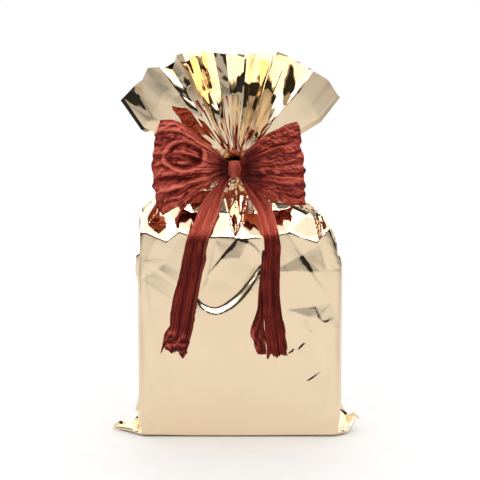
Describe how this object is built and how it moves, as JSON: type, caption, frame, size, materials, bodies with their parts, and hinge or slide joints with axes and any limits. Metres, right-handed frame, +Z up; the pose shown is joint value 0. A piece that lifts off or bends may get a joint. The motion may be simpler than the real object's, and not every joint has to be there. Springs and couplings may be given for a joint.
{
  "type": "gift bag",
  "caption": "Filled flat foil gift bag, gathered at the neck and tied with a wide crinkled ribbon bow whose tails hang down the front.",
  "frame": {"origin": "centre of the standing base, on the floor, midway between the front and the back of the bag", "axes": "+Z up, -Y towards the front of the bag where the bow is, +X to the right seen from the front"},
  "size_m": [0.248, 0.0764, 0.385],
  "materials": {
    "gold_film": "metallised mirror film, pale champagne gold",
    "red_ribbon": "crinkled, satin sheen, fine lengthwise fibres",
    "carton_board": "uncoated folding boxboard"
  },
  "bodies": {
    "bag": {"front_panel": "gold_film", "back_panel": "gold_film", "bottom_seam": "gold_film", "left_side_seam": "gold_film", "right_side_seam": "gold_film", "neck_gather": "gold_film", "carton_tray": "carton_board", "carton_lid": "carton_board", "neck_band": "red_ribbon", "bow_knot": "red_ribbon"},
    "left_corner": {"left_base_corner": "gold_film"},
    "right_corner": {"right_base_corner": "gold_film"},
    "front_mouth": {"front_mouth": "gold_film"},
    "back_mouth": {"back_mouth": "gold_film"},
    "left_loop": {"left_loop": "red_ribbon"},
    "right_loop": {"right_loop": "red_ribbon"},
    "left_tail_upper": {"left_tail_upper": "red_ribbon"},
    "left_tail_lower": {"left_tail_lower": "red_ribbon"},
    "right_tail_upper": {"right_tail_upper": "red_ribbon"},
    "right_tail_lower": {"right_tail_lower": "red_ribbon"}
  },
  "joints": [
    {"name": "left_corner_fold", "type": "hinge", "parent": "bag", "child": "left_corner", "pos_m": [-0.1005, 0, 0.001], "axis": [0, 1, 0], "range_deg": [0, 82]},
    {"name": "right_corner_fold", "type": "hinge", "parent": "bag", "child": "right_corner", "pos_m": [0.1005, 0, 0.001], "axis": [0, -1, 0], "range_deg": [-28, 55]},
    {"name": "front_mouth_spread", "type": "hinge", "parent": "bag", "child": "front_mouth", "pos_m": [-0.005, -0.01, 0.2785], "axis": [1, 0, 0], "range_deg": [0, 8]},
    {"name": "back_mouth_spread", "type": "hinge", "parent": "bag", "child": "back_mouth", "pos_m": [-0.005, 0.01, 0.2785], "axis": [-1, 0, 0], "range_deg": [0, 22]},
    {"name": "left_loop_swing", "type": "hinge", "parent": "bag", "child": "left_loop", "pos_m": [-0.015, -0.0227, 0.272], "axis": [0, 0, 1], "range_deg": [0, 30]},
    {"name": "right_loop_swing", "type": "hinge", "parent": "bag", "child": "right_loop", "pos_m": [0.005, -0.0227, 0.27], "axis": [0, 0, -1], "range_deg": [0, 28]},
    {"name": "left_tail_lift", "type": "hinge", "parent": "bag", "child": "left_tail_upper", "pos_m": [-0.014, -0.0242, 0.26], "axis": [-1, 0, 0], "range_deg": [0, 26]},
    {"name": "left_tail_bend", "type": "hinge", "parent": "left_tail_upper", "child": "left_tail_lower", "pos_m": [-0.0405, -0.0332, 0.203], "axis": [-1, 0, 0], "range_deg": [0, 50]},
    {"name": "right_tail_lift", "type": "hinge", "parent": "bag", "child": "right_tail_upper", "pos_m": [0.001, -0.0242, 0.26], "axis": [-1, 0, 0], "range_deg": [0, 26]},
    {"name": "right_tail_bend", "type": "hinge", "parent": "right_tail_upper", "child": "right_tail_lower", "pos_m": [0.031, -0.0332, 0.203], "axis": [-1, 0, 0], "range_deg": [0, 50]}
  ]
}
